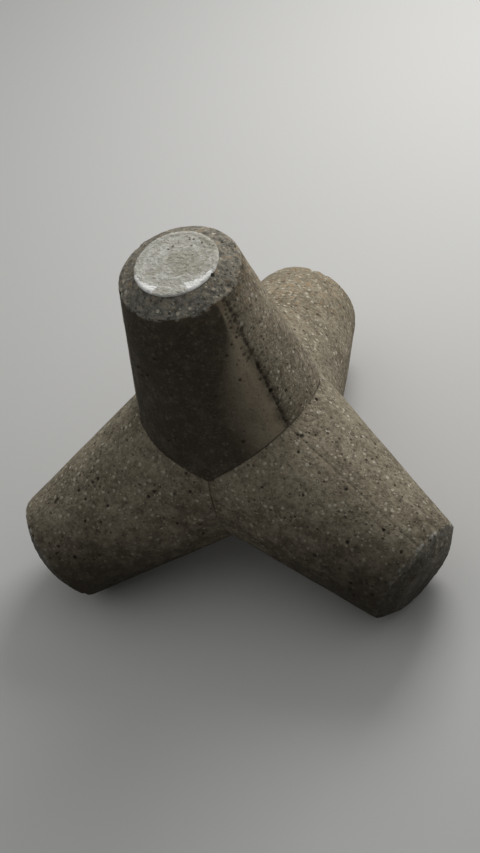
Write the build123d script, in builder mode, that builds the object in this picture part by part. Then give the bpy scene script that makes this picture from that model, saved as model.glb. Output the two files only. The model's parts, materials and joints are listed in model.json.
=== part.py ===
"""Concrete tetrapod: a breakwater armour unit cast in one piece, standing on three of its legs.

The leg axes cross at the origin and +Z runs up the leg that the concrete was poured through.
All lengths are in millimetres.
"""

from build123d import *
from math import acos, cos, degrees, radians, sin, tan
import os

os.makedirs("parts", exist_ok=True)

# Legs
leg_length = 1450  # from the crossing of the leg axes to a leg's flat end
end_diameter = 680  # of the leg's cone where it reaches the flat end
taper_angle = 10  # between the leg's side and its axis, in degrees
lower_leg_count = 3
back_leg_direction = 90  # seen from above, in degrees from +X

# Bevelled rim of each leg
bevel_width = 100  # inwards from the side of the leg
bevel_depth = 65  # back from the flat end

# Trowelled face of the pouring leg, which fills the mould's round mouth
pour_face_rise = 10
pour_face_bevel = 4

# Rounding in the creases between the legs
crease_radius = 40

# Grooves where the panels of the mould met, which run along the legs on the sides that face
# the other legs
joint_width = 12
joint_depth = 6
joint_cutter_margin = 25  # how far the cutter for a groove stands out of the concrete

# A turned leg has a line where its surface closes, set here to end well away from the points
# where three creases meet
closing_line_turn = 15

# Worked out from the sizes above
end_radius = end_diameter / 2
taper = tan(radians(taper_angle))
root_radius = end_radius + leg_length * taper
rim_radius = end_radius + bevel_depth * taper
rim_height = leg_length - bevel_depth
face_radius = end_radius - bevel_width
leg_tilt = degrees(acos(-1 / lower_leg_count))
half_tilt = radians(leg_tilt / 2)


def leg_side(offset, height):
    """Point on the side of the upright leg, moved outwards by an offset, in the XZ plane."""
    return (root_radius + offset / cos(radians(taper_angle)) - height * taper, height)


def crease_bottom(offset):
    """Point where the moved sides of the upright leg and of a lower leg cross."""
    reach_at_root, _ = leg_side(offset, 0)
    return leg_side(offset, reach_at_root / (tan(half_tilt) + taper))


# One leg, upright, from the crossing point to its bevelled end
with BuildPart() as leg:
    with BuildSketch(Plane.XZ.rotated((0, 0, closing_line_turn))):
        with BuildLine():
            Polyline(
                (0, 0),
                (root_radius, 0),
                (rim_radius, rim_height),
                (face_radius, leg_length),
                (0, leg_length),
                close=True,
            )
        make_face()
    revolve(axis=Axis.Z)

# Cutter for one groove of the mould, which runs down the upright leg and, as the mirror image
# of that half, out along a lower leg
between_legs = Plane(origin=(0, 0, 0), z_dir=(cos(half_tilt), 0, -sin(half_tilt)))
with BuildPart() as joint_cutter:
    with BuildSketch(Plane.XZ):
        with BuildLine():
            Polyline(
                leg_side(-joint_depth, rim_height + joint_depth),
                crease_bottom(-joint_depth),
                crease_bottom(joint_cutter_margin),
                leg_side(joint_cutter_margin, rim_height + joint_depth),
                close=True,
            )
        make_face()
    extrude(amount=joint_width / 2, both=True)
    mirror(about=between_legs)

with BuildPart() as tetrapod:
    # The pouring leg stands up and the others spread evenly under it
    add(leg.part)
    with PolarLocations(0, lower_leg_count, start_angle=back_leg_direction):
        add(leg.part, rotation=(0, leg_tilt, 0))

    # Where two legs meet, their cones are rounded into each other
    inner_edges = tetrapod.edges().filter_by(lambda edge: (edge @ 0.5).length < rim_height)
    fillet(inner_edges.filter_by(GeomType.LINE, reverse=True), crease_radius)

    # A groove joins the upright leg to each lower leg, and each lower leg to the next
    lower_leg_line = Axis((0, 0, 0), (sin(radians(leg_tilt)), 0, cos(radians(leg_tilt))))
    lower_joint_cutter = joint_cutter.part.rotate(lower_leg_line, 360 / lower_leg_count)
    with PolarLocations(0, lower_leg_count, start_angle=back_leg_direction):
        add(joint_cutter.part, mode=Mode.SUBTRACT)
        add(lower_joint_cutter, mode=Mode.SUBTRACT)

    # Concrete left standing in the mould's mouth, with a worn edge
    with BuildSketch(Plane.XY.offset(leg_length)):
        Circle(face_radius)
    extrude(amount=pour_face_rise)
    pour_face = tetrapod.faces().sort_by(Axis.Z)[-1]
    chamfer(pour_face.edges(), pour_face_bevel)

tetrapod.part.label = "tetrapod"
export_step(tetrapod.part, "parts/tetrapod.step")
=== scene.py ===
"""Concrete tetrapod: the looks of a weathered breakwater unit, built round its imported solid.

The unit is one casting, so it is one piece here too. One leg is shaped as a plain blank, which is
copied and turned for each of the four. They are run together, and then given what casting and
weather leave on them: the mould's seams, air holes, worn rims and the trowelled face of the pouring
leg. All lengths are in metres, in the solid's own frame: the leg axes cross at the origin and +Z
runs up the leg that the concrete was poured through.
"""

import json
import logging
import math
from collections.abc import Sequence
from dataclasses import dataclass, field
from enum import Enum
from typing import Protocol

import bpy
import numpy as np
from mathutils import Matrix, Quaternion, Vector
from mathutils.kdtree import KDTree


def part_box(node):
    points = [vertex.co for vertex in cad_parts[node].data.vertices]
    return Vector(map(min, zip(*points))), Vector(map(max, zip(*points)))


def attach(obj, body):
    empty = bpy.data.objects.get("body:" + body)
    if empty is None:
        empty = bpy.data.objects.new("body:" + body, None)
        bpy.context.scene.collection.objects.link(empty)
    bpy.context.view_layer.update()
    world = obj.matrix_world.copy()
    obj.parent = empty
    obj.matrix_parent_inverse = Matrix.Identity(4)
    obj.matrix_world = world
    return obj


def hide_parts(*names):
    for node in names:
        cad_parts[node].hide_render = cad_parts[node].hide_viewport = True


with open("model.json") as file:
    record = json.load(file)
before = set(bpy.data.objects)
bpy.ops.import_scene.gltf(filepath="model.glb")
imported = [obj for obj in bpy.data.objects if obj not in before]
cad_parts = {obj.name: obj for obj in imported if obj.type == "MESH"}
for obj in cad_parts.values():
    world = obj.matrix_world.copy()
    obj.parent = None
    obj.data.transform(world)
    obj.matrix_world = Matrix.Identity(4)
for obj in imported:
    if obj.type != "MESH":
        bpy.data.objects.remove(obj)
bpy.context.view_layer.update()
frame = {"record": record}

logger = logging.getLogger("tetrapod")

Colour = tuple[float, float, float]
Socket = bpy.types.NodeSocket
Feed = float | Sequence[float] | Socket

HOLLOW = "hollow"
MOUNTS = {mount["name"]: mount for mount in frame["record"]["mounts"]}


class Leg(Enum):
    """The unit's legs, each by the flat face that the record gives for its end."""

    POUR = "pour_face"
    BACK = "foot_back"
    LEFT = "foot_left"
    RIGHT = "foot_right"

    @property
    def axis(self) -> Vector:
        """Unit vector from the middle of the unit along this leg."""
        return Vector(MOUNTS[self.value]["axis"]).normalized()

    @property
    def reach(self) -> float:
        """Distance from the middle of the unit to this leg's flat face."""
        return Vector(MOUNTS[self.value]["pos_m"]).length


class Zone(Enum):
    """Areas of the casting that get a relief of their own, each painted as a vertex group."""

    SKIN = "skin"
    BEVEL = "bevel"
    ARRIS = "arris"
    CHIPS = "chips"
    CREASE = "crease"
    CREASE_LINE = "crease_line"
    SEAM = "seam"
    HONEYCOMB = "honeycomb"
    PANEL_STEP = "panel_step"
    AIR_HOLES = "air_holes"
    SPALLS = "spalls"
    POUR_FACE = "pour_face"
    POUR_RIM = "pour_rim"


# How much aggregate shows on the panel that lies opposite each leg, and how much more on any
# panel where it reaches over the lower legs
PANEL_COARSENESS = {Leg.POUR: 0.70, Leg.BACK: 0.10, Leg.LEFT: 1.00, Leg.RIGHT: 0.65}
LOWER_COARSENESS = 0.75

# How much of its length along a leg a run stain is drawn out by
DRAWN_SHARE = 0.93

# The smallest grain as a share of the largest, and the share of a grain's width that is full
SMALLEST_GRAIN = 0.45
GRAIN_CORE = 0.6

# Two reaches this close are the same one
SAME = 0.0001

# Which way was up in the photograph, for a unit that lay tilted in its pile
SKY = Vector((-0.04, 0.77, 0.63)).normalized()


class Pattern(Enum):
    """Texture kinds that roughen a zone."""

    PLAIN = "NONE"
    CLOUDS = "CLOUDS"
    STUCCO = "STUCCI"


@dataclass(frozen=True)
class Relief:
    """One layer of relief, pushed along the surface's normals over a zone."""

    zone: Zone
    height: float
    pattern: Pattern = Pattern.PLAIN
    grain: float = 0.05
    level: float = 0.5


def deselect_all() -> None:
    """Leave edit mode and clear the selection, so that the next operator acts on nothing else."""
    if bpy.context.object is not None and bpy.context.object.mode != "OBJECT":
        bpy.ops.object.mode_set(mode="OBJECT")
    bpy.ops.object.select_all(action="DESELECT")


def make_active(piece: bpy.types.Object) -> None:
    """Select one object alone and make it the active one.

    Args:
        piece: The object that the next operators act on.
    """
    deselect_all()
    piece.select_set(True)
    bpy.context.view_layer.objects.active = piece


def apply_modifier(piece: bpy.types.Object, kind: str, **settings: object) -> None:
    """Add a modifier to a piece, set it and apply it.

    Args:
        piece: The object to change.
        kind: Blender's name for the kind of modifier.
        **settings: Values of the modifier's own properties.
    """
    make_active(piece)
    modifier = piece.modifiers.new(kind.lower(), kind)
    for name, value in settings.items():
        setattr(modifier, name, value)
    bpy.ops.object.modifier_apply(modifier=modifier.name)


def vertex_places(mesh: bpy.types.Mesh) -> np.ndarray:
    """Read where a mesh's vertices are.

    Args:
        mesh: The mesh to read.

    Returns:
        One row of three coordinates for each vertex.
    """
    places = np.empty(len(mesh.vertices) * 3, np.float32)
    mesh.vertices.foreach_get("co", places)
    return places.reshape(-1, 3).astype(float)


def triangle_count(mesh: bpy.types.Mesh) -> int:
    """Count the triangles that a mesh's faces make."""
    return len(mesh.loops) - 2 * len(mesh.polygons)


def falloff(distance: np.ndarray, reach: float) -> np.ndarray:
    """Turn distances into weights, from 1 at none to almost nothing at twice the reach."""
    return np.exp(-((distance / reach) ** 2))


class LegCoordinates:
    """Where points lie on the unit, told by the leg that each one belongs to."""

    # Two leg axes are this far apart, as the length between their unit vectors
    SPREAD = math.sqrt(8 / 3)

    def __init__(self, points: np.ndarray) -> None:
        """Sort the points by leg.

        Args:
            points: One row of three coordinates for each point.
        """
        axes = np.array([leg.axis for leg in Leg])
        reaches = points @ axes.T
        ordered = np.sort(reaches, axis=1)
        ranks = reaches.argsort(axis=1)
        self.points = points
        self.leg = ranks[:, 3]
        self.facing = ranks[:, 2]
        self.panel = ranks[:, 0]
        self.along = ordered[:, 3]
        self.radius = np.sqrt(np.maximum((points**2).sum(axis=1) - self.along**2, 0))
        self.crease = (ordered[:, 3] - ordered[:, 2]) / self.SPREAD
        self.seam = (ordered[:, 1] - ordered[:, 0]) / self.SPREAD


@dataclass
class Casting:
    """The whole unit: its form, and the relief that casting and weather give it."""

    name: str = "casting"

    # Form, as the solid has it
    end_radius: float = 0.34
    taper: float = math.tan(math.radians(10))
    bevel_width: float = 0.10
    bevel_depth: float = 0.065

    # Rounding of the creases and the rims, and how many times its reach from the line it ends
    crease_rounding: float = 0.05
    crease_spread: float = 1.25
    arris_rounding: float = 0.022
    arris_spread: float = 1.5
    smoothing: float = 0.6

    # Fineness of the mesh
    facets: int = 128
    voxel: float = 0.0055
    rough_voxel: float = 0.011
    triangles: int = 194_000

    # A leg's end counts from just before its rim, and its flat face to just inside its edge
    end_margin: float = 0.004
    face_margin: float = 0.006

    # The share of the skin's relief on the poured face, and of the bevels' on the other faces
    poured_skin_share: float = 0.3
    foot_share: float = 0.35

    # Wear along the rims and, less of it, along the edges of the flat faces
    rim_wear: float = 0.018
    edge_wear: float = 0.010
    edge_share: float = 0.5

    # Lumps in the creases, and the line at the bottom of them
    crease_reach: float = 0.03
    crease_line_width: float = 0.006

    # Seams of the mould, which run along each leg on the sides that face the other legs, and the
    # steps between its panels
    seam_width: float = 0.007
    step_reach: float = 0.12
    panel_steps: tuple[float, ...] = (1.0, -0.6, 0.5, -1.0)

    # Grout leaked most from one seam, less at its top, and much less from the others
    leaky_seam: tuple[Leg, Leg] = (Leg.POUR, Leg.RIGHT)
    leaky_heights: tuple[float, float] = (0.80, 1.10)
    seam_top_share: float = 0.45
    tight_seam_depth: float = 0.40
    honeycomb_width: float = 0.050
    honeycomb_spread: float = 0.018
    honeycomb_share: float = 0.05
    seam_hole_count: int = 150
    seam_hole_radii: tuple[float, float] = (0.006, 0.015)

    # Air holes in the cast skin
    hole_margin: float = 0.002
    hole_count: int = 700
    hole_radii: tuple[float, float] = (0.005, 0.013)
    hole_evenness: float = 0.5

    # Pieces broken from the rims
    spall_reach: float = 0.016
    spalls_per_leg: int = 12
    spall_radii: tuple[float, float] = (0.014, 0.036)
    spall_evenness: float = 0.6

    # Ridge round the poured face
    pour_ridge_inset: float = 0.018
    pour_ridge_width: float = 0.010

    # The layers of relief, from the broadest to the finest
    relief: tuple[Relief, ...] = (
        Relief(Zone.SKIN, 0.008, Pattern.CLOUDS, grain=0.55),
        Relief(Zone.SKIN, 0.0035, Pattern.CLOUDS, grain=0.16),
        Relief(Zone.PANEL_STEP, 0.0022),
        Relief(Zone.SKIN, 0.0018, Pattern.CLOUDS, grain=0.035),
        Relief(Zone.CHIPS, 0.004, Pattern.CLOUDS, grain=0.05, level=0.7),
        Relief(Zone.BEVEL, 0.004, Pattern.STUCCO, grain=0.030),
        Relief(Zone.CREASE, 0.006, Pattern.CLOUDS, grain=0.05),
        Relief(Zone.CREASE_LINE, -0.003),
        Relief(Zone.SEAM, -0.007),
        Relief(Zone.HONEYCOMB, -0.007),
        Relief(Zone.AIR_HOLES, -0.011),
        Relief(Zone.SPALLS, -0.010),
        Relief(Zone.POUR_FACE, 0.003, Pattern.CLOUDS, grain=0.09),
        Relief(Zone.POUR_RIM, 0.0025),
    )

    seed: int = 11
    piece: bpy.types.Object | None = field(default=None, repr=False)

    @property
    def leg_length(self) -> float:
        """Length of a leg that stands on its flat end."""
        return Leg.BACK.reach

    @property
    def root_radius(self) -> float:
        """Radius of a leg's cone at the middle of the unit."""
        return self.end_radius + self.leg_length * self.taper

    @property
    def rim_height(self) -> float:
        """Distance along a leg to where its bevel starts."""
        return self.leg_length - self.bevel_depth

    @property
    def rim_radius(self) -> float:
        """Radius of a leg where its bevel starts."""
        return self.end_radius + self.bevel_depth * self.taper

    @property
    def face_radius(self) -> float:
        """Radius of the flat face on a leg's end."""
        return self.end_radius - self.bevel_width

    @property
    def fineness(self) -> float:
        """Width of the cells that the legs are run together in."""
        return self.voxel

    def build(self) -> bpy.types.Object:
        """Make the casting's mesh.

        Returns:
            The finished piece, at the origin and with no modifier left on it.
        """
        blank = self.leg_blank()
        legs = [self.turned_copy(blank, leg) for leg in Leg]
        bpy.data.objects.remove(blank)
        self.piece = self.run_together(legs)
        self.round_creases()
        self.round_rims()
        self.weather()
        self.thin()
        return self.piece

    def leg_blank(self) -> bpy.types.Object:
        """Shape one upright leg, from the middle of the unit to its bevelled end.

        Returns:
            A closed mesh along +Z.
        """
        deselect_all()
        bpy.ops.mesh.primitive_cone_add(
            vertices=self.facets,
            radius1=self.root_radius,
            radius2=self.rim_radius,
            depth=self.rim_height,
            location=(0, 0, self.rim_height / 2),
        )
        blank = bpy.context.object
        blank.name = "leg_blank"
        bpy.ops.object.transform_apply(location=True, rotation=True, scale=True)
        self.raise_top_face(blank, self.bevel_depth)
        shrink = self.face_radius / self.rim_radius
        bpy.ops.transform.resize(value=(shrink, shrink, 1), center_override=(0, 0, self.leg_length))
        bpy.ops.object.mode_set(mode="OBJECT")
        return blank

    @staticmethod
    def raise_top_face(blank: bpy.types.Object, rise: float) -> None:
        """Extrude the highest face of an upright blank, and leave that face selected in edit mode.

        Args:
            blank: The active object.
            rise: How far the face goes up.
        """
        bpy.ops.object.mode_set(mode="EDIT")
        bpy.ops.mesh.select_all(action="DESELECT")
        bpy.ops.object.mode_set(mode="OBJECT")
        top = max(blank.data.polygons, key=lambda face: face.center.z)
        top.select = True
        bpy.ops.object.mode_set(mode="EDIT")
        bpy.ops.mesh.select_mode(type="FACE")
        bpy.ops.mesh.extrude_region_move(TRANSFORM_OT_translate={"value": (0, 0, rise)})

    def turned_copy(self, blank: bpy.types.Object, leg: Leg) -> bpy.types.Object:
        """Copy the blank for one leg.

        Args:
            blank: The upright blank.
            leg: The leg to make.

        Returns:
            A mesh of its own, as long as the leg is and turned along its axis.
        """
        make_active(blank)
        bpy.ops.object.duplicate()
        copy = bpy.context.object
        copy.name = f"{leg.name.lower()}_leg_blank"
        if leg.reach > self.leg_length:
            self.raise_top_face(copy, leg.reach - self.leg_length)
            bpy.ops.object.mode_set(mode="OBJECT")
        copy.rotation_mode = "QUATERNION"
        copy.rotation_quaternion = Vector((0, 0, 1)).rotation_difference(leg.axis)
        bpy.ops.object.transform_apply(location=True, rotation=True, scale=True)
        return copy

    def run_together(self, legs: list[bpy.types.Object]) -> bpy.types.Object:
        """Unite the legs into one closed mesh of even fineness.

        Args:
            legs: The four blanks.

        Returns:
            The united piece.
        """
        piece, *others = legs
        for other in others:
            apply_modifier(piece, "BOOLEAN", operation="UNION", solver="EXACT", object=other)
            bpy.data.objects.remove(other)
        piece.name = self.name
        piece.data.name = self.name
        apply_modifier(piece, "REMESH", mode="VOXEL", voxel_size=self.fineness, adaptivity=0)
        return piece

    def round_creases(self) -> None:
        """Round the legs into one another where they meet."""
        places = LegCoordinates(vertex_places(self.piece.data))
        near = np.clip(self.crease_spread - places.crease / self.crease_rounding, 0, 1)
        self.smooth(Zone.CREASE, near, self.crease_rounding)

    def round_rims(self) -> None:
        """Round the rims of the legs, which wear first."""
        places = LegCoordinates(vertex_places(self.piece.data))
        near = np.clip(self.arris_spread - self.rim_distance(places) / self.arris_rounding, 0, 1)
        self.smooth(Zone.ARRIS, near, self.arris_rounding)

    def smooth(self, zone: Zone, weights: np.ndarray, reach: float) -> None:
        """Even out the surface over a zone.

        Args:
            zone: The zone to smooth.
            weights: One number for each vertex, from 0 to 1.
            reach: About how far the evening out goes, in metres.
        """
        self.paint(zone, weights)
        passes = max(1, round((reach / self.fineness) ** 2 / 2))
        apply_modifier(
            self.piece, "SMOOTH", factor=self.smoothing, iterations=passes, vertex_group=zone.value
        )

    def rim_distance(self, places: LegCoordinates) -> np.ndarray:
        """Measure how far points are from the rim where a leg's side meets its bevel."""
        return np.hypot(places.radius - self.rim_radius, places.along - self.rim_height)

    def paint(self, zone: Zone, weights: np.ndarray) -> None:
        """Store a zone's weights as a vertex group of the casting.

        Args:
            zone: The zone that is painted.
            weights: One number for each vertex, from 0 to 1.
        """
        mesh = self.piece.data
        make_active(self.piece)
        old = self.piece.vertex_groups.get(zone.value)
        if old is not None:
            self.piece.vertex_groups.remove(old)
        layer = mesh.attributes.new(zone.value, "FLOAT", "POINT")
        layer.data.foreach_set("value", weights.astype(np.float32))
        mesh.attributes.active = layer
        bpy.ops.geometry.attribute_convert(mode="VERTEX_GROUP")

    def weather(self) -> None:
        """Lay every layer of relief on the casting, and note its hollows for the finish."""
        zones = self.zone_weights()
        for zone, weights in zones.items():
            self.paint(zone, weights)
        hollow = np.maximum(zones[Zone.AIR_HOLES], zones[Zone.HONEYCOMB])
        attribute = self.piece.data.attributes.new(HOLLOW, "FLOAT", "POINT")
        attribute.data.foreach_set("value", hollow.astype(np.float32))
        for layer in self.relief:
            self.lay(layer)

    def lay(self, layer: Relief) -> None:
        """Push one layer of relief into the surface.

        Args:
            layer: The layer to add.
        """
        texture = None
        if layer.pattern is not Pattern.PLAIN:
            texture = bpy.data.textures.new(f"{layer.zone.value}_relief", layer.pattern.value)
            texture.noise_scale = layer.grain
        apply_modifier(
            self.piece,
            "DISPLACE",
            strength=layer.height,
            mid_level=layer.level if texture else 0.0,
            texture=texture,
            vertex_group=layer.zone.value,
        )

    def zone_weights(self) -> dict[Zone, np.ndarray]:
        """Work out how strongly each zone holds at each vertex.

        Returns:
            Weights from 0 to 1, by zone.
        """
        places = LegCoordinates(vertex_places(self.piece.data))
        rng = np.random.default_rng(self.seed)
        on_end = places.along > self.rim_height - self.end_margin
        side = ~on_end
        on_face = on_end & (places.radius < self.face_radius - self.face_margin)
        poured = on_face & (places.leg == list(Leg).index(Leg.POUR))
        edge = np.hypot(places.radius - self.face_radius, places.along - self.leg_length)
        worn_rim = falloff(self.rim_distance(places), self.rim_wear)
        worn_edge = self.edge_share * falloff(edge, self.edge_wear)
        seam = self.seam_depth(places) * falloff(places.seam, self.seam_width)

        # Half the weight is the middle, from which the panels step out or in
        steps = np.array(self.panel_steps)[places.panel] * np.exp(-places.seam / self.step_reach)
        return {
            Zone.SKIN: np.where(poured, self.poured_skin_share, 1.0),
            Zone.BEVEL: np.select([on_end & ~on_face, on_face & ~poured], [1.0, self.foot_share]),
            Zone.CHIPS: np.clip(worn_rim + worn_edge, 0, 1),
            Zone.CREASE: falloff(places.crease, self.crease_reach),
            Zone.CREASE_LINE: falloff(places.crease, self.crease_line_width),
            Zone.SEAM: np.where(side, seam, 0.0),
            Zone.HONEYCOMB: self.honeycomb(places, rng),
            Zone.PANEL_STEP: np.where(side, 0.5 + 0.5 * steps, 0.5),
            Zone.AIR_HOLES: self.air_holes(places, rng),
            Zone.SPALLS: self.spalls(places, rng),
            Zone.POUR_FACE: np.where(poured, 1.0, 0.0),
            Zone.POUR_RIM: np.where(poured, self.pour_rim(places), 0.0),
        }

    def beside_leaky_seam(self, places: LegCoordinates) -> np.ndarray:
        """Tell which points lie on the side of the leg where grout leaked out most."""
        leg, facing = (list(Leg).index(side) for side in self.leaky_seam)
        return (places.leg == leg) & (places.facing == facing)

    def seam_depth(self, places: LegCoordinates) -> np.ndarray:
        """Work out how deep the nearest seam is, as a share of the leaky one's lower part."""
        opened = np.interp(places.along, self.leaky_heights, (1.0, self.seam_top_share))
        return np.where(self.beside_leaky_seam(places), opened, self.tight_seam_depth)

    def pour_rim(self, places: LegCoordinates) -> np.ndarray:
        """Raise the ridge that the float pushed up against the mould's mouth, from 0 to 1."""
        ridge = self.face_radius - self.pour_ridge_inset
        return falloff(places.radius - ridge, self.pour_ridge_width)

    def honeycomb(self, places: LegCoordinates, rng: np.random.Generator) -> np.ndarray:
        """Scatter the pits along the seams, where grout leaked from the mould.

        Args:
            places: The vertices in leg coordinates.
            rng: Source of the scatter.

        Returns:
            Depth at each vertex, as a share of the deepest pit's depth.
        """
        beside = (places.seam < self.honeycomb_width) & (places.along < self.rim_height)
        leaky = np.where(self.beside_leaky_seam(places), 1.0, self.honeycomb_share)
        chance = np.exp(-places.seam / self.honeycomb_spread) * leaky
        near = np.flatnonzero(beside & (rng.random(len(beside)) < chance))
        chosen = rng.choice(near, self.seam_hole_count, replace=False)
        radii = rng.uniform(*self.seam_hole_radii, self.seam_hole_count)
        return self.hollows(places.points, places.points[chosen], radii)

    def air_holes(self, places: LegCoordinates, rng: np.random.Generator) -> np.ndarray:
        """Scatter the voids that air leaves in the skin of a casting.

        Args:
            places: The vertices in leg coordinates.
            rng: Source of the scatter.

        Returns:
            Depth at each vertex, as a share of the deepest hole's depth.
        """
        skin = np.flatnonzero(places.along < self.leg_length - self.hole_margin)
        chosen = rng.choice(skin, self.hole_count, replace=False)
        radii = self.mostly_small(self.hole_radii, self.hole_evenness, self.hole_count, rng)
        return self.hollows(places.points, places.points[chosen], radii)

    def spalls(self, places: LegCoordinates, rng: np.random.Generator) -> np.ndarray:
        """Break pieces from the rims of the legs.

        Args:
            places: The vertices in leg coordinates.
            rng: Source of the scatter.

        Returns:
            Depth at each vertex, as a share of the deepest break's depth.
        """
        near = np.flatnonzero(self.rim_distance(places) < self.spall_reach)
        count = self.spalls_per_leg * len(Leg)
        chosen = rng.choice(near, count, replace=False)
        radii = self.mostly_small(self.spall_radii, self.spall_evenness, count, rng)
        return self.hollows(places.points, places.points[chosen], radii)

    @staticmethod
    def mostly_small(
        limits: tuple[float, float], evenness: float, count: int, rng: np.random.Generator
    ) -> np.ndarray:
        """Draw radii, with more small ones than large ones.

        Args:
            limits: The smallest and the largest.
            evenness: 1 for as many of every size, and less for more small ones.
            count: How many to draw.
            rng: Source of the draw.

        Returns:
            The radii.
        """
        low, high = limits
        return low + (high - low) * rng.power(evenness, count)

    @staticmethod
    def hollows(points: np.ndarray, centres: np.ndarray, radii: np.ndarray) -> np.ndarray:
        """Sink a round hollow at each centre.

        Args:
            points: The vertices.
            centres: One place for each hollow.
            radii: One radius for each hollow.

        Returns:
            Depth at each vertex, as a share of the deepest hollow's depth.
        """
        tree = KDTree(len(points))
        for index, point in enumerate(points):
            tree.insert(point, index)
        tree.balance()
        depth = np.zeros(len(points))
        deepest = radii.max()
        for centre, radius in zip(centres, radii):
            for _, index, distance in tree.find_range(centre, radius):
                share = math.sqrt(max(0.0, 1 - (distance / radius) ** 2)) * radius / deepest
                depth[index] = max(depth[index], share)
        return depth

    def thin(self) -> None:
        """Bring the mesh under its limit of triangles, which stay where the relief is."""
        count = triangle_count(self.piece.data)
        if count > self.triangles:
            apply_modifier(self.piece, "DECIMATE", ratio=self.triangles / count)
        make_active(self.piece)
        bpy.ops.object.shade_smooth()
        self.piece.vertex_groups.clear()


class Tone(Enum):
    """Colours of the weathered concrete, as linear light."""

    PASTE = (0.270, 0.228, 0.160)
    WORN_PASTE = (0.180, 0.149, 0.102)
    RUSTY_PASTE = (0.350, 0.285, 0.200)
    SAND = (0.360, 0.315, 0.232)
    PALE_GRAIN = (0.520, 0.475, 0.375)
    DARK_GRAIN = (0.050, 0.042, 0.031)
    # Near-black: the seams' dark lines, and painted shade in the creases and the hollows
    HOLLOW = (0.026, 0.021, 0.015)
    RUN_STAIN = (0.078, 0.064, 0.045)
    # Painted shade with some soil: on the smooth panel, and on the side that faced away from the sky
    SHADE_AND_SOIL = (0.030, 0.024, 0.016)
    LICHEN = (0.330, 0.190, 0.075)
    CHALK = (0.520, 0.495, 0.430)
    BEVEL = (0.170, 0.163, 0.138)
    TROWELLED = (0.640, 0.628, 0.565)
    TROWEL_MARK = (0.400, 0.382, 0.322)
    TROWEL_STAIN = (0.300, 0.270, 0.190)
    LAITANCE = (0.930, 0.915, 0.880)


@dataclass(frozen=True)
class Clouds:
    """A cloudy noise: about how wide its patches are, in metres, and its finer layers."""

    size: float
    detail: float = 3
    roughness: float = 0.6


@dataclass(frozen=True)
class Step:
    """A smooth step between two levels, and what it gives before and after them."""

    start: float
    end: float
    before: float = 0.0
    after: float = 1.0


@dataclass(frozen=True)
class Veil:
    """A tone that is laid where a pattern has stepped up, and the share that it covers there."""

    tone: Tone
    step: Step
    cover: float


@dataclass(frozen=True)
class Grains:
    """Round grains or pits of about one size in the concrete.

    The spacing is in metres, the share is of the places that have one, and the reach is a share of
    the spacing. They stand up by their rise, and they show everywhere or only on worn skin.
    """

    spacing: float
    share: float
    reach: float
    tone: Tone
    cover: float
    rise: float = 0.0
    everywhere: bool = False


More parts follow.
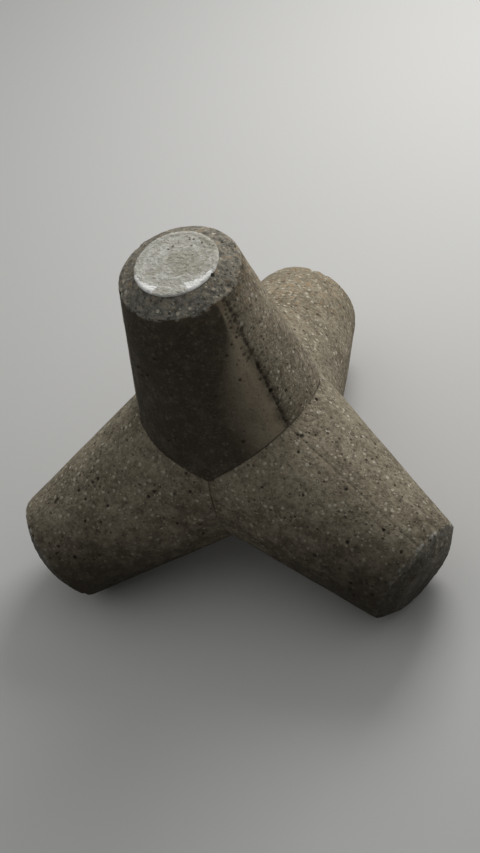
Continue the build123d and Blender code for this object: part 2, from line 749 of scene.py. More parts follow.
class Tree:
    """Shorthand for adding nodes to one node tree and linking them."""

    def __init__(self, tree: bpy.types.NodeTree) -> None:
        """Keep the tree that nodes go into.

        Args:
            tree: A material's, a world's or a node group's tree.
        """
        self.tree = tree

    def add(self, kind: str, **settings: object) -> bpy.types.Node:
        """Add a node.

        Args:
            kind: The node's type name.
            **settings: Values of the node's own properties.

        Returns:
            The new node.
        """
        node = self.tree.nodes.new(kind)
        for name, value in settings.items():
            setattr(node, name, value)
        return node

    def plug(self, socket: Socket, value: Feed) -> None:
        """Link a socket to another, or set its value.

        Args:
            socket: The input to feed.
            value: An output socket to link, or a number, vector or colour to set.
        """
        if isinstance(value, Socket):
            self.tree.links.new(value, socket)
        elif socket.type == "RGBA" and len(value) == 3:
            socket.default_value = (*value, 1)
        else:
            socket.default_value = value

    def math(self, operation: str, *values: Feed, clamp: bool = False) -> Socket:
        """Add a Math node.

        Args:
            operation: Blender's name for the operation.
            *values: Its operands.
            clamp: Whether the result is held between 0 and 1.

        Returns:
            The result.
        """
        node = self.add("ShaderNodeMath", operation=operation, use_clamp=clamp)
        for socket, value in zip(node.inputs, values):
            self.plug(socket, value)
        return node.outputs[0]

    def times(self, first: Feed, *others: Feed) -> Feed:
        """Multiply values.

        Args:
            first: The first factor.
            *others: The other factors, if any.

        Returns:
            Their product.
        """
        for other in others:
            first = self.math("MULTIPLY", first, other)
        return first

    def rest(self, share: Feed) -> Socket:
        """Take what a share leaves of the whole."""
        return self.math("SUBTRACT", 1.0, share)

    def vector(self, operation: str, *values: Feed) -> Socket:
        """Add a Vector Math node.

        Args:
            operation: Blender's name for the operation.
            *values: Its operands; for SCALE the second is the factor.

        Returns:
            The result, a number for a dot product or a distance and otherwise a vector.
        """
        node = self.add("ShaderNodeVectorMath", operation=operation)
        sockets = [node.inputs[0], node.inputs["Scale"]] if operation == "SCALE" else node.inputs
        for socket, value in zip(sockets, values):
            self.plug(socket, value)
        number = operation in ("DOT_PRODUCT", "DISTANCE")
        return node.outputs["Value" if number else "Vector"]

    def fade(self, value: Feed, start: Feed, end: Feed, low: Feed = 0, high: Feed = 1) -> Socket:
        """Turn a value into a smooth step between two levels.

        Args:
            value: What is measured.
            start: Where the result is low.
            end: Where the result is high.
            low: The result before the step.
            high: The result after the step.

        Returns:
            The stepped value.
        """
        node = self.add("ShaderNodeMapRange", interpolation_type="SMOOTHSTEP")
        for socket, given in zip(node.inputs, (value, start, end, low, high)):
            self.plug(socket, given)
        return node.outputs[0]

    def step(self, pattern: Socket, step: Step) -> Socket:
        """Turn a pattern into a smooth step."""
        return self.fade(pattern, step.start, step.end, step.before, step.after)

    def choose(self, mask: Socket, outside: Feed, inside: Feed) -> Socket:
        """Take one value where a mask holds and another where it doesn't.

        Args:
            mask: 1 where it holds and 0 elsewhere.
            outside: The value where it doesn't.
            inside: The value where it does.

        Returns:
            The chosen value.
        """
        return self.fade(mask, 0, 1, outside, inside)

    def mix(self, share: Feed, under: Feed, over: Feed) -> Socket:
        """Mix two colours.

        Args:
            share: Share of the second colour.
            under: The colour underneath.
            over: The colour on top.

        Returns:
            The mixed colour.
        """
        node = self.add("ShaderNodeMix", data_type="RGBA")
        colours = [socket for socket in node.inputs if socket.type == "RGBA"]
        self.plug(node.inputs[0], share)
        self.plug(colours[0], under)
        self.plug(colours[1], over)
        return next(socket for socket in node.outputs if socket.type == "RGBA")


class Group(Tree):
    """A node group with named inputs and outputs, built once and placed where it is needed."""

    def __init__(self, name: str, inputs: dict[str, str], outputs: dict[str, str]) -> None:
        """Make an empty group.

        Args:
            name: What the group is called.
            inputs: Kind of socket by name, such as Float or Vector.
            outputs: Kind of socket by name.
        """
        super().__init__(bpy.data.node_groups.new(name, "ShaderNodeTree"))
        for direction, sockets in (("INPUT", inputs), ("OUTPUT", outputs)):
            for label, kind in sockets.items():
                self.tree.interface.new_socket(label, in_out=direction, socket_type=f"NodeSocket{kind}")
        self.given = self.add("NodeGroupInput").outputs
        self.result = self.add("NodeGroupOutput").inputs

    def place(self, tree: Tree, **values: Feed) -> bpy.types.bpy_prop_collection:
        """Put the group into another tree.

        Args:
            tree: The tree that uses it.
            **values: Inputs by name.

        Returns:
            The outputs of the placed group.
        """
        node = tree.add("ShaderNodeGroup", node_tree=self.tree)
        for name, value in values.items():
            tree.plug(node.inputs[name], value)
        return node.outputs


def leg_coordinates_group() -> Group:
    """Tell where a point lies on the unit by the leg and the mould panel that it belongs to.

    Returns:
        The node group.
    """
    names = ("Along", "Radius", "Crease", "Seam", "Pour leg", "Leaky seam", "Coarse", "Smooth panel")
    outputs = {name: "Float" for name in names} | {"Drawn out": "Vector"}
    group = Group("Leg coordinates", {"Position": "Vector"}, outputs)
    place = group.given["Position"]
    reaches = {leg: group.vector("DOT_PRODUCT", place, tuple(leg.axis)) for leg in Leg}
    pairs = (list(reaches.values())[:2], list(reaches.values())[2:])
    high = [group.math("MAXIMUM", *pair) for pair in pairs]
    low = [group.math("MINIMUM", *pair) for pair in pairs]
    middle = [group.math("MINIMUM", *high), group.math("MAXIMUM", *low)]
    first = group.math("MAXIMUM", *high)
    second = group.math("MAXIMUM", *middle)
    third = group.math("MINIMUM", *middle)
    fourth = group.math("MINIMUM", *low)
    square = group.vector("DOT_PRODUCT", place, place)
    drawn = place
    coarse = 0.0
    panels = {}
    for leg, reach in reaches.items():
        owner = group.math("COMPARE", reach, first, SAME)
        squeeze = group.times(owner, first, -DRAWN_SHARE)
        drawn = group.vector("ADD", drawn, group.vector("SCALE", tuple(leg.axis), squeeze))
        panels[leg] = group.math("COMPARE", reach, fourth, SAME)
        coarse = group.math("ADD", coarse, group.times(panels[leg], PANEL_COARSENESS[leg]))
    pour = group.math("COMPARE", reaches[Leg.POUR], first, SAME)
    faces_right = group.math("COMPARE", reaches[Leg.RIGHT], second, SAME)
    results = {
        "Along": first,
        "Radius": group.math("SQRT", group.math("SUBTRACT", square, group.times(first, first))),
        "Crease": group.math("DIVIDE", group.math("SUBTRACT", first, second), LegCoordinates.SPREAD),
        "Seam": group.math("DIVIDE", group.math("SUBTRACT", third, fourth), LegCoordinates.SPREAD),
        "Pour leg": pour,
        "Leaky seam": group.times(pour, faces_right),
        "Coarse": group.math("ADD", coarse, group.choose(pour, LOWER_COARSENESS, 0.0), clamp=True),
        "Smooth panel": group.times(pour, panels[Leg.BACK]),
        "Drawn out": drawn,
    }
    for name, value in results.items():
        group.plug(group.result[name], value)
    return group


def grains_group() -> Group:
    """Scatter round grains or pits of about one size.

    Returns:
        The node group.
    """
    group = Group(
        "Grains",
        {"Position": "Vector", "Spacing": "Float", "Share": "Float", "Reach": "Float"},
        {"Mask": "Float"},
    )
    given = group.given
    cells = group.add("ShaderNodeTexVoronoi", feature="F1")
    group.plug(cells.inputs["Vector"], given["Position"])
    group.plug(cells.inputs["Scale"], group.math("DIVIDE", 1.0, given["Spacing"]))
    chances = group.add("ShaderNodeSeparateColor")
    group.plug(chances.inputs[0], cells.outputs["Color"])
    present = group.math("LESS_THAN", chances.outputs[0], given["Share"])
    size = group.fade(chances.outputs[1], 0, 1, SMALLEST_GRAIN, 1)
    width = group.times(given["Reach"], size)
    shape = group.fade(cells.outputs["Distance"], width, group.times(width, GRAIN_CORE))
    group.plug(group.result["Mask"], group.times(present, shape))
    return group


class Surface(Tree):
    """The concrete while its material is built: where a point lies, its colour and its height."""

    # The mottling, which several layers share
    MOTTLE = Clouds(0.085, 4, 0.65)

    # Half the width of the line where a leg's side turns into its end
    RIM_SOFTNESS = 0.003

    def __init__(self, tree: bpy.types.NodeTree, casting: Casting) -> None:
        """Find where points lie on the unit.

        Args:
            tree: The material's tree.
            casting: The casting that wears the material.
        """
        super().__init__(tree)
        self.casting = casting
        self.place = self.add("ShaderNodeTexCoord").outputs["Object"]
        self.legs = leg_coordinates_group().place(self, Position=self.place)
        self.grains = grains_group()
        self.high = self.toward(SKY)
        self.past_rim = self.math("SUBTRACT", self.legs["Along"], casting.rim_height)
        self.on_end = self.fade(self.past_rim, -self.RIM_SOFTNESS, self.RIM_SOFTNESS)
        self.on_side = self.rest(self.on_end)
        self.mottle = self.clouds(self.MOTTLE)
        self.colour = Tone.WORN_PASTE.value
        self.height = 0.0

    def toward(self, direction: Sequence[float]) -> Socket:
        """Measure how far a point lies in a direction from the middle of the unit."""
        return self.vector("DOT_PRODUCT", self.place, tuple(direction))

    def clouds(self, clouds: Clouds, place: Socket | None = None) -> Socket:
        """Add a cloudy noise.

        Args:
            clouds: How wide and fine it is.
            place: Where it is read, if not at the point itself.

        Returns:
            A value about 0.5.
        """
        node = self.add("ShaderNodeTexNoise")
        self.plug(node.inputs["Vector"], place or self.place)
        self.plug(node.inputs["Scale"], 1 / clouds.size)
        self.plug(node.inputs["Detail"], clouds.detail)
        self.plug(node.inputs["Roughness"], clouds.roughness)
        return node.outputs["Fac"]

    def scatter(self, grains: Grains) -> Socket:
        """Scatter grains, and tell where they lie."""
        placed = self.grains.place(
            self, Position=self.place, Spacing=grains.spacing, Share=grains.share, Reach=grains.reach
        )
        return placed["Mask"]

    def shift(self, value: Socket, pattern: Socket, step: Step) -> Socket:
        """Move a value up and down by a pattern, so that its outline wanders.

        Args:
            value: What is moved.
            pattern: The pattern that moves it.
            step: By how much, for which levels of the pattern.

        Returns:
            The moved value.
        """
        return self.math("ADD", value, self.step(pattern, step))

    def cover(self, tone: Tone, share: Feed, *masks: Socket) -> None:
        """Lay a tone on the colour so far.

        Args:
            tone: The tone to lay.
            share: How much it covers.
            *masks: Where it lies.
        """
        self.colour = self.mix(self.times(share, *masks), self.colour, tone.value)

    def veil(self, veil: Veil, pattern: Socket, *masks: Socket) -> None:
        """Lay a tone on the colour so far, where a pattern has stepped up.

        Args:
            veil: The tone and its step.
            pattern: The pattern that it follows.
            *masks: Where else it is held back.
        """
        self.cover(veil.tone, veil.cover, self.step(pattern, veil.step), *masks)

    def lift(self, rise: float, *masks: Socket) -> None:
        """Raise the height so far, or sink it.

        Args:
            rise: How far, in metres.
            *masks: Where.
        """
        self.height = self.math("ADD", self.height, self.times(rise, *masks))


class Layer(Protocol):
    """One layer of the finish, laid on those before it."""

    def dress(self, surface: Surface) -> None:
        """Change the surface's colour and height."""


@dataclass(frozen=True)
class Skin:
    """The cement skin: broad blotches, one panel with painted shade and soil, greyer ends, mottling and
    sand.
    """

    blotches: Clouds = Clouds(0.42, 4)
    paste: Veil = Veil(Tone.PASTE, Step(0.36, 0.64), cover=1.0)

    # Painted shade with some soil on the smooth panel, kept off the strip beside its leaky seam, which
    # is wider lower down the leg
    shade_and_soil_cover: float = 0.88
    strip_width: Step = Step(1.30, 0.70, 0.06, 0.33)
    strip_core: float = 0.04
    rust_cover: float = 0.45

    # Painted light with some bleaching, paler towards the side that faced the sky
    sky_lit_and_bleached: Veil = Veil(Tone.SAND, Step(0.80, 1.20), cover=0.45)

    # The ends of the legs
    cobbles: Clouds = Clouds(0.045, 2, 0.5)
    rough_end: Veil = Veil(Tone.CHALK, Step(0.44, 0.60), cover=0.14)
    smooth_end: Veil = Veil(Tone.RUN_STAIN, Step(0.50, 0.36), cover=0.35)

    # Mottling and sand, with the share of them that the smooth panel goes without
    pale_mottle: Veil = Veil(Tone.SAND, Step(0.46, 0.70), cover=0.38)
    dark_mottle: Veil = Veil(Tone.RUN_STAIN, Step(0.50, 0.30), cover=0.42)
    sand: Clouds = Clouds(0.011, 2)
    pale_sand: Veil = Veil(Tone.SAND, Step(0.48, 0.72), cover=0.40)
    dark_sand: Veil = Veil(Tone.DARK_GRAIN, Step(0.46, 0.26), cover=0.40)
    evenness: float = 0.75

    grit: Clouds = Clouds(0.020, 4, 0.7)
    grit_height: float = 0.0022

    def dress(self, surface: Surface) -> None:
        """Lay the skin.

        Args:
            surface: The surface to dress.
        """
        legs = surface.legs
        smooth = legs["Smooth panel"]
        surface.veil(self.paste, surface.clouds(self.blotches))
        strip = surface.step(legs["Along"], self.strip_width)
        unshaded_strip = surface.times(legs["Leaky seam"], surface.fade(legs["Seam"], strip, self.strip_core))
        # Painted shade with some soil darkens the smooth panel, all but the strip beside the leaky seam
        surface.cover(Tone.SHADE_AND_SOIL, self.shade_and_soil_cover, surface.rest(unshaded_strip), smooth)
        surface.cover(Tone.RUSTY_PASTE, self.rust_cover, unshaded_strip, smooth)
        # Painted light with some bleaching: paler towards the side that faced the sky
        surface.veil(self.sky_lit_and_bleached, surface.high)
        surface.cover(Tone.BEVEL, surface.on_end)
        cobbles = surface.clouds(self.cobbles)
        surface.veil(self.rough_end, cobbles, surface.on_end)
        surface.veil(self.smooth_end, cobbles, surface.on_end)
        even = surface.rest(surface.times(smooth, self.evenness))
        surface.veil(self.pale_mottle, surface.mottle, even)
        surface.veil(self.dark_mottle, surface.mottle, even)
        sand = surface.clouds(self.sand)
        surface.veil(self.pale_sand, sand, even)
        surface.veil(self.dark_sand, sand)
        surface.lift(self.grit_height, surface.clouds(self.grit))


@dataclass(frozen=True)
class Aggregate:
    """The stones and pits that the worn skin uncovers, most on the coarse panels and the ends."""

    worn: Step = Step(0.25, 0.55, before=0.55)
    pebbles: Clouds = Clouds(0.026)
    raised: Veil = Veil(Tone.SAND, Step(0.50, 0.66), cover=0.55)
    raised_rise: float = 0.0012
    sunk: Veil = Veil(Tone.DARK_GRAIN, Step(0.49, 0.36), cover=0.38)
    sunk_rise: float = -0.0015
    grains: tuple[Grains, ...] = (
        Grains(0.034, 0.48, 0.42, Tone.PALE_GRAIN, cover=0.85, rise=0.0010),
        Grains(0.015, 0.45, 0.42, Tone.DARK_GRAIN, cover=0.45, rise=-0.0008, everywhere=True),
        Grains(0.018, 0.25, 0.34, Tone.PALE_GRAIN, cover=0.80),
        Grains(0.031, 0.42, 0.37, Tone.DARK_GRAIN, cover=0.80, rise=-0.0025),
    )

    def dress(self, surface: Surface) -> None:
        """Lay the aggregate.

        Args:
            surface: The surface to dress.
        """
        coarse = surface.math("MAXIMUM", surface.legs["Coarse"], surface.on_end)
        worn = surface.times(coarse, surface.step(surface.mottle, self.worn))
        pebbles = surface.clouds(self.pebbles)
        for veil, rise in ((self.raised, self.raised_rise), (self.sunk, self.sunk_rise)):
            mask = surface.times(surface.step(pebbles, veil.step), worn)
            surface.cover(veil.tone, veil.cover, mask)
            surface.lift(rise, mask)
        for grains in self.grains:
            mask = surface.scatter(grains)
            shown = mask if grains.everywhere else surface.times(mask, worn)
            surface.cover(grains.tone, grains.cover, shown)
            if grains.rise:
                surface.lift(grains.rise, mask)


@dataclass(frozen=True)
class Stains:
    """What the weather leaves: runs, a dark band under the pouring rim, worn rims, lichen, and painted
    shade with wet soil.
    """

    streaks: Clouds = Clouds(0.055, 3, 0.55)
    runs: Veil = Veil(Tone.RUN_STAIN, Step(0.52, 0.68), cover=0.22)
    band: Veil = Veil(Tone.RUN_STAIN, Step(-0.09, -0.01), cover=0.45)

    # Chips on the rims, which show less on the pouring leg
    rim: Step = Step(0.020, 0.006)
    chips: Clouds = Clouds(0.05, 3, 0.65)
    chipped: Step = Step(0.50, 0.56)
    chip_cover: float = 0.85
    pour_chip_cover: float = 0.40

    # Lichen on the side that faced the sky, and painted shade with wet soil on the side that faced away
    growth: Clouds = Clouds(0.045, 4, 0.7)
    grown: Step = Step(0.52, 0.62)
    lichen: Veil = Veil(Tone.LICHEN, Step(0.45, 0.95), cover=0.35)
    shade_and_damp_edge: Step = Step(0.3, 0.7, -0.05, 0.05)
    shade_and_damp: Veil = Veil(Tone.SHADE_AND_SOIL, Step(-0.38, -1.00), cover=0.90)

    def dress(self, surface: Surface) -> None:
        """Lay the stains.

        Args:
            surface: The surface to dress.
        """
        legs = surface.legs
        streaks = surface.clouds(self.streaks, legs["Drawn out"])
        surface.veil(self.runs, streaks, surface.on_side)
        surface.veil(self.band, surface.past_rim, surface.on_side, legs["Pour leg"])
        rim = surface.step(self.rim_distance(surface), self.rim)
        chips = surface.step(surface.clouds(self.chips), self.chipped)
        cover = surface.choose(legs["Pour leg"], self.chip_cover, self.pour_chip_cover)
        surface.cover(Tone.CHALK, cover, rim, chips)
        growth = surface.step(surface.clouds(self.growth), self.grown)
        surface.veil(self.lichen, surface.high, growth)
        # Painted shade with some wet soil, darker towards the side that faced away from the sky
        surface.veil(self.shade_and_damp, surface.shift(surface.high, surface.mottle, self.shade_and_damp_edge))

    @staticmethod
    def rim_distance(surface: Surface) -> Socket:
        """Measure how far a point is from the rim where a leg's side meets its bevel.

        Args:
            surface: The surface that the point is on.

        Returns:
            The distance, in metres.
        """
        outwards = surface.math("SUBTRACT", surface.legs["Radius"], surface.casting.rim_radius)
        squares = [surface.times(length, length) for length in (outwards, surface.past_rim)]
        return surface.math("SQRT", surface.math("ADD", *squares))


@dataclass(frozen=True)
class Joints:
    """The seams of the mould, painted shade in the creases between the legs, and the shade in every
    hollow.
    """

    # A seam's dark line, broken here and there, and for the leaky one stronger lower down
    raggedness: Clouds = Clouds(0.022, 3, 0.65)
    ragged: Step = Step(0.32, 0.68, 0.002, 0.012)
    leaky_width: float = 1.1
    tight_width: float = 0.8
    seam_core: float = 0.001
    breaks: Clouds = Clouds(0.16, 2, 0.5)
    broken: Step = Step(0.40, 0.60, before=0.35)
    leaky_cover: Step = Step(1.10, 0.80, 0.2175, 0.60)
    tight_cover: float = 0.15

    # The stain along the leaky seam
    halo: Veil = Veil(Tone.RUN_STAIN, Step(0.060, 0.006), cover=0.72)
    halo_patches: Step = Step(0.66, 0.40, before=0.35)
    halo_height: Step = Step(1.25, 0.95, before=0.45)

    # Painted shade in patches along the creases between the legs
    crease_shade_patches: Clouds = Clouds(0.30, 2, 0.5)
    crease_shade_cover: Step = Step(0.38, 0.62, 0.15, 0.80)
    crease: Step = Step(0.008, 0.001)

    # The pale blotch where three legs meet
    meeting_edge: Clouds = Clouds(0.03)
    meeting_wander: Step = Step(0.3, 0.7, -0.03, 0.03)
    meeting: Veil = Veil(Tone.SAND, Step(0.085, 0.030), cover=0.55)

    hollow: Step = Step(0.05, 0.60)
    hollow_cover: float = 0.75
    leaky_hollow_cover: float = 0.50

    def dress(self, surface: Surface) -> None:
        """Lay the joints.

        Args:
            surface: The surface to dress.
        """
        legs = surface.legs
        leaky = legs["Leaky seam"]
        ragged = surface.step(surface.clouds(self.raggedness), self.ragged)
        width = surface.times(ragged, surface.choose(leaky, self.tight_width, self.leaky_width))
        strong = surface.step(legs["Along"], self.leaky_cover)
        strength = surface.choose(leaky, self.tight_cover, strong)
        broken = surface.step(surface.clouds(self.breaks), self.broken)
        seam = surface.fade(legs["Seam"], width, self.seam_core)
        surface.cover(Tone.HOLLOW, strength, broken, seam, surface.on_side)
        patches = surface.step(surface.mottle, self.halo_patches)
        lower = surface.step(legs["Along"], self.halo_height)
        surface.veil(self.halo, legs["Seam"], leaky, patches, lower, surface.on_side)
        # Painted shade along the creases between the legs
        patchy = surface.step(surface.clouds(self.crease_shade_patches), self.crease_shade_cover)
        surface.cover(Tone.HOLLOW, patchy, surface.step(legs["Crease"], self.crease))
        distance = surface.vector("DISTANCE", surface.place, self.meeting_point(surface.casting))
        edge = surface.clouds(self.meeting_edge)
        surface.veil(self.meeting, surface.shift(distance, edge, self.meeting_wander))
        hollow = surface.add("ShaderNodeAttribute", attribute_name=HOLLOW).outputs["Fac"]
        shade = surface.choose(leaky, self.hollow_cover, self.leaky_hollow_cover)
        surface.cover(Tone.HOLLOW, shade, surface.step(hollow, self.hollow))

    @staticmethod
    def meeting_point(casting: Casting) -> tuple[float, ...]:
        """Find where the pouring, back and right legs meet, opposite the left one.

        Args:
            casting: The casting whose legs they are.

        Returns:
            The point on the surface of all three cones.
        """
        away = -Leg.LEFT.axis
        share = away.dot(Leg.POUR.axis)
        across = math.sqrt(1 - share**2)
        return tuple(away * casting.root_radius / (across + share * casting.taper))


@dataclass(frozen=True)
class LaitancePatch:
    """One crisp patch of white cement skin on the rim of the poured face.

    The direction and the half width are in degrees round the pouring leg. The depth is measured
    inwards from the rim, and the slant is how much it grows anticlockwise, for each radian.
    """

    direction: float
    half_width: float
    depth: float
    slant: float


@dataclass(frozen=True)
class PouredFace:
    """The face that was floated flat when the mould was full, with its white patches."""

    # How far above the other legs' length the face starts and is fully there
    start: float = 0.001
    full: float = 0.004

    # The float's swirls
    swirl_scale: float = 5.0
    swirl_distortion: float = 9.0
    swirl_detail: float = 3.0
    swirl_detail_scale: float = 2.6
    swirl: Veil = Veil(Tone.TROWEL_MARK, Step(0.10, 0.90), cover=0.50)
    swirl_height: float = -0.002

    # Stains, marks and specks
    broad: Clouds = Clouds(0.17)
    broad_stain: Veil = Veil(Tone.TROWEL_STAIN, Step(0.45, 0.60), cover=0.55)
    cloudy: Clouds = Clouds(0.032, 4, 0.7)
    cloudy_mark: Veil = Veil(Tone.TROWEL_MARK, Step(0.52, 0.68), cover=0.60)
    cloudy_chalk: Veil = Veil(Tone.CHALK, Step(0.46, 0.32), cover=0.55)
    speckle: Clouds = Clouds(0.013, 3, 0.65)
    dark_speckle: Veil = Veil(Tone.TROWEL_STAIN, Step(0.52, 0.66), cover=0.55)
    pale_speckle: Veil = Veil(Tone.CHALK, Step(0.48, 0.34), cover=0.45)

    # Pits, mostly in the half that lay higher
    pits: Grains = Grains(0.026, 0.45, 0.38, Tone.RUN_STAIN, cover=0.85)
    far_side: Sequence[float] = (0.0, 1.0, 0.0)
    far_half: Step = Step(-0.02, 0.12, before=0.15)

    # The groove inside the ridge, the chalky ridge, and the white lip on the lower half
    wander: Clouds = Clouds(0.06)
    ridge_wander: Step = Step(0.3, 0.7, -0.007, 0.007)
    groove_inset: float = 0.018
    groove: Veil = Veil(Tone.TROWEL_MARK, Step(0.006, 0.0), cover=0.60)
    ridge_width: float = 0.010
    ridge_patches: Step = Step(0.6, 0.4)
    ridge_cover: float = 0.18
    near_side: Sequence[float] = (0.2, -0.98, 0.0)
    near_half: Step = Step(0.02, 0.14)
    lip: Veil = Veil(Tone.LAITANCE, Step(-0.008, -0.005), cover=0.25)

    # The white patches
    fray: Clouds = Clouds(0.016, 2, 0.5)
    end_fray: Step = Step(0.3, 0.7, -0.008, 0.008)
    inner_fray: Step = Step(0.3, 0.7, -0.006, 0.006)
    patch_softness: float = 0.003
    patch_cover: float = 0.95
    patches: tuple[LaitancePatch, ...] = (
        LaitancePatch(direction=-132, half_width=23, depth=0.038, slant=0.060),
        LaitancePatch(direction=-34, half_width=24, depth=0.044, slant=-0.060),
    )

    def dress(self, surface: Surface) -> None:
        """Lay the poured face.

        Args:
            surface: The surface to dress.
        """
        under = surface.colour
        length = surface.casting.leg_length
        there = surface.fade(surface.legs["Along"], length + self.start, length + self.full)
        on_face = surface.times(surface.legs["Pour leg"], there)
        surface.colour = Tone.TROWELLED.value
        cloudy = surface.clouds(self.cloudy)
        self.lay_marks(surface, on_face, cloudy)
        self.lay_rim(surface, cloudy)
        fray = surface.clouds(self.fray)
        for patch in self.patches:
            surface.cover(Tone.LAITANCE, self.patch_cover, *self.patch_masks(surface, patch, fray))
        surface.colour = surface.mix(on_face, under, surface.colour)

    def lay_marks(self, surface: Surface, on_face: Socket, cloudy: Socket) -> None:
        """Lay the float's swirls, the stains, the specks and the pits.

        Args:
            surface: The surface to dress.
            on_face: Where the poured face is.
            cloudy: The noise of its cloudy marks.
        """
        rings = surface.add("ShaderNodeTexWave", wave_type="RINGS", rings_direction="Z")
        surface.plug(rings.inputs["Vector"], surface.place)
        surface.plug(rings.inputs["Scale"], self.swirl_scale)
        surface.plug(rings.inputs["Distortion"], self.swirl_distortion)
        surface.plug(rings.inputs["Detail"], self.swirl_detail)
        surface.plug(rings.inputs["Detail Scale"], self.swirl_detail_scale)
        swirls = rings.outputs["Fac"]
        surface.veil(self.swirl, swirls)
        surface.lift(self.swirl_height, swirls, on_face)
        surface.veil(self.broad_stain, surface.clouds(self.broad))
        surface.veil(self.cloudy_mark, cloudy)
        surface.veil(self.cloudy_chalk, cloudy)
        speckle = surface.clouds(self.speckle)
        surface.veil(self.dark_speckle, speckle)
        surface.veil(self.pale_speckle, speckle)
        far_half = surface.step(surface.toward(self.far_side), self.far_half)
        surface.cover(self.pits.tone, self.pits.cover, surface.scatter(self.pits), far_half)

    def lay_rim(self, surface: Surface, cloudy: Socket) -> None:
        """Lay the groove, the ridge and the lip round the face.

        Args:
            surface: The surface to dress.
            cloudy: The noise of its cloudy marks.
        """
        casting = surface.casting
        wander = surface.clouds(self.wander)
        outwards = surface.shift(surface.legs["Radius"], wander, self.ridge_wander)
        ridge = casting.face_radius - casting.pour_ridge_inset
        past_groove = surface.math("SUBTRACT", outwards, ridge - self.groove_inset)
        surface.veil(self.groove, surface.math("ABSOLUTE", past_groove))
        on_ridge = surface.fade(outwards, ridge - self.ridge_width, ridge)
        patchy = surface.step(cloudy, self.ridge_patches)
        surface.cover(Tone.CHALK, self.ridge_cover, on_ridge, patchy)
        past_face = surface.math("SUBTRACT", outwards, casting.face_radius)
        near_half = surface.step(surface.toward(self.near_side), self.near_half)
        surface.veil(self.lip, past_face, near_half)

    def patch_masks(
        self, surface: Surface, patch: LaitancePatch, fray: Socket
    ) -> tuple[Socket, Socket]:
        """Outline one patch of white cement skin.

        Args:
            surface: The surface to dress.
            patch: The patch to outline.
            fray: Noise that makes its outline uneven.

        Returns:
            Where the patch lies round the face, and where it lies across the rim.
        """
        radius = surface.legs["Radius"]
        angle = math.radians(patch.direction)
        middle = Vector((math.cos(angle), math.sin(angle), 0))
        sideways = Vector((-math.sin(angle), math.cos(angle), 0))
        cosine = surface.math("DIVIDE", surface.toward(middle), radius)
        cosine = surface.shift(cosine, fray, self.end_fray)
        limit = math.cos(math.radians(patch.half_width))
        round_face = surface.fade(cosine, limit - self.patch_softness, limit + self.patch_softness)
        offset = surface.math("DIVIDE", surface.toward(sideways), radius)
        reach = surface.math("ADD", radius, surface.times(offset, patch.slant))
        reach = surface.shift(reach, fray, self.inner_fray)
        inner = surface.casting.face_radius - patch.depth
        return round_face, surface.fade(reach, inner, inner + self.patch_softness)


@dataclass(frozen=True)
class ConcreteFinish:
    """Weathered concrete, built up from its skin to the poured face."""

    casting: Casting
    layers: tuple[Layer, ...] = (Skin(), Aggregate(), Stains(), Joints(), PouredFace())
    roughness: Step = Step(0.3, 0.7, 0.96, 0.82)
    specular: float = 0.2
    name: str = "weathered_concrete"

    def material(self) -> bpy.types.Material:
        """Build the material.

        Returns:
            The finished material.
        """
        material = bpy.data.materials.new(self.name)
        material.use_nodes = True
        material.node_tree.nodes.clear()
        surface = Surface(material.node_tree, self.casting)
        for layer in self.layers:
            layer.dress(surface)
        self.shade(surface)
        return material

    def shade(self, surface: Surface) -> None:
        """Feed the shader.

        Args:
            surface: The dressed surface.
        """
        bump = surface.add("ShaderNodeBump")
        bump.inputs["Distance"].default_value = 1.0
        surface.plug(bump.inputs["Height"], surface.height)
        shader = surface.add("ShaderNodeBsdfPrincipled")
        shader.inputs["Specular IOR Level"].default_value = self.specular
        surface.plug(shader.inputs["Base Color"], surface.colour)
        surface.plug(shader.inputs["Roughness"], surface.step(surface.mottle, self.roughness))
        surface.plug(shader.inputs["Normal"], bump.outputs["Normal"])
        output = surface.add("ShaderNodeOutputMaterial")
        surface.plug(output.inputs["Surface"], shader.outputs["BSDF"])


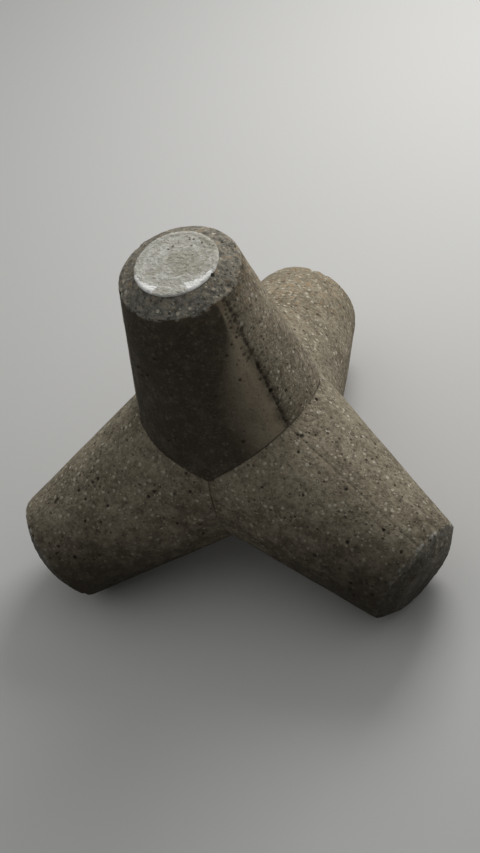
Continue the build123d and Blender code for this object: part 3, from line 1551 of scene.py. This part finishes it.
@dataclass
class Studio:
    """A pale floor, soft light from the side that the sky was on, and the camera."""

    # The camera's place, as seen from the middle of the unit
    azimuth: float = 30.8
    elevation: float = 48.8
    distance: float = 11.47
    lean: float = 21.5
    lens: float = 80.0

    floor_radius: float = 150.0
    floor_facets: int = 256
    floor_colour: Colour = (0.60, 0.59, 0.57)
    floor_roughness: float = 0.9

    # How bright the surroundings are, from the side of the ground to the side of the sky, and as
    # the camera sees them
    glow: Step = Step(-0.35, 0.45, before=0.02, after=0.50)
    glow_tint: Colour = (0.97, 0.99, 1.0)
    backdrop: float = 0.6

    # The key light hangs up and to the right, where the sky was open
    key_direction: tuple[float, float, float] = (0.23, 0.80, 0.61)
    key_distance: float = 7.0
    key_size: float = 4.0
    key_power: float = 305.0

    def build(self) -> None:
        """Make the stage, the lights and the camera."""
        self.lay_floor()
        self.light_sky()
        self.hang_key()
        self.set_camera()
        bpy.context.scene.view_settings.view_transform = "Standard"

    def lay_floor(self) -> None:
        """Lay the floor under the unit's feet."""
        deselect_all()
        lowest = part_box("tetrapod")[0].z
        bpy.ops.mesh.primitive_circle_add(
            vertices=self.floor_facets,
            radius=self.floor_radius,
            fill_type="NGON",
            location=(0, 0, lowest),
        )
        floor = bpy.context.object
        floor.name = "floor"
        bpy.ops.object.transform_apply(location=True, rotation=True, scale=True)
        material = bpy.data.materials.new("pale_floor")
        material.use_nodes = True
        shader = material.node_tree.nodes["Principled BSDF"]
        shader.inputs["Base Color"].default_value = (*self.floor_colour, 1)
        shader.inputs["Roughness"].default_value = self.floor_roughness
        floor.data.materials.append(material)

    def light_sky(self) -> None:
        """Light the scene from the half of the surroundings that the sky was in."""
        world = bpy.data.worlds.new("studio")
        world.use_nodes = True
        bpy.context.scene.world = world
        tree = Tree(world.node_tree)
        world.node_tree.nodes.clear()
        direction = tree.add("ShaderNodeTexCoord").outputs["Generated"]
        glow = tree.step(tree.vector("DOT_PRODUCT", direction, tuple(SKY)), self.glow)
        seen = tree.add("ShaderNodeLightPath").outputs["Is Camera Ray"]
        background = tree.add("ShaderNodeBackground")
        tree.plug(background.inputs["Color"], self.glow_tint)
        tree.plug(background.inputs["Strength"], tree.choose(seen, glow, self.backdrop))
        output = tree.add("ShaderNodeOutputWorld")
        tree.plug(output.inputs["Surface"], background.outputs["Background"])

    def hang_key(self) -> None:
        """Hang a large soft light where the sky was brightest."""
        light = bpy.data.lights.new("key", "AREA")
        light.size = self.key_size
        light.energy = self.key_power
        lamp = bpy.data.objects.new("key", light)
        bpy.context.scene.collection.objects.link(lamp)
        toward = Vector(self.key_direction).normalized()
        lamp.location = toward * self.key_distance
        lamp.rotation_euler = toward.to_track_quat("Z", "Y").to_euler()

    def set_camera(self) -> None:
        """Put the camera where the photograph was taken from, closer in by its lens."""
        camera = bpy.data.cameras.new("camera")
        camera.lens = self.lens
        holder = bpy.data.objects.new("camera", camera)
        bpy.context.scene.collection.objects.link(holder)
        azimuth = math.radians(self.azimuth)
        elevation = math.radians(self.elevation)
        back = Vector((
            math.sin(azimuth) * math.cos(elevation),
            -math.cos(azimuth) * math.cos(elevation),
            math.sin(elevation),
        ))
        holder.location = back * self.distance
        roll = Quaternion((0, 0, 1), math.radians(-self.lean))
        holder.rotation_mode = "QUATERNION"
        holder.rotation_quaternion = back.to_track_quat("Z", "Y") @ roll
        bpy.context.scene.camera = holder


def main() -> None:
    """Build the casting, dress it and set up the studio."""
    logging.basicConfig(level=logging.INFO, format="%(name)s: %(message)s")
    casting = Casting()
    piece = casting.build()
    piece.data.materials.clear()
    piece.data.materials.append(ConcreteFinish(casting).material())
    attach(piece, "root")
    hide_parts("tetrapod")
    logger.info("%s has %d triangles", piece.name, triangle_count(piece.data))
    Studio().build()


if __name__ == "__main__":
    main()
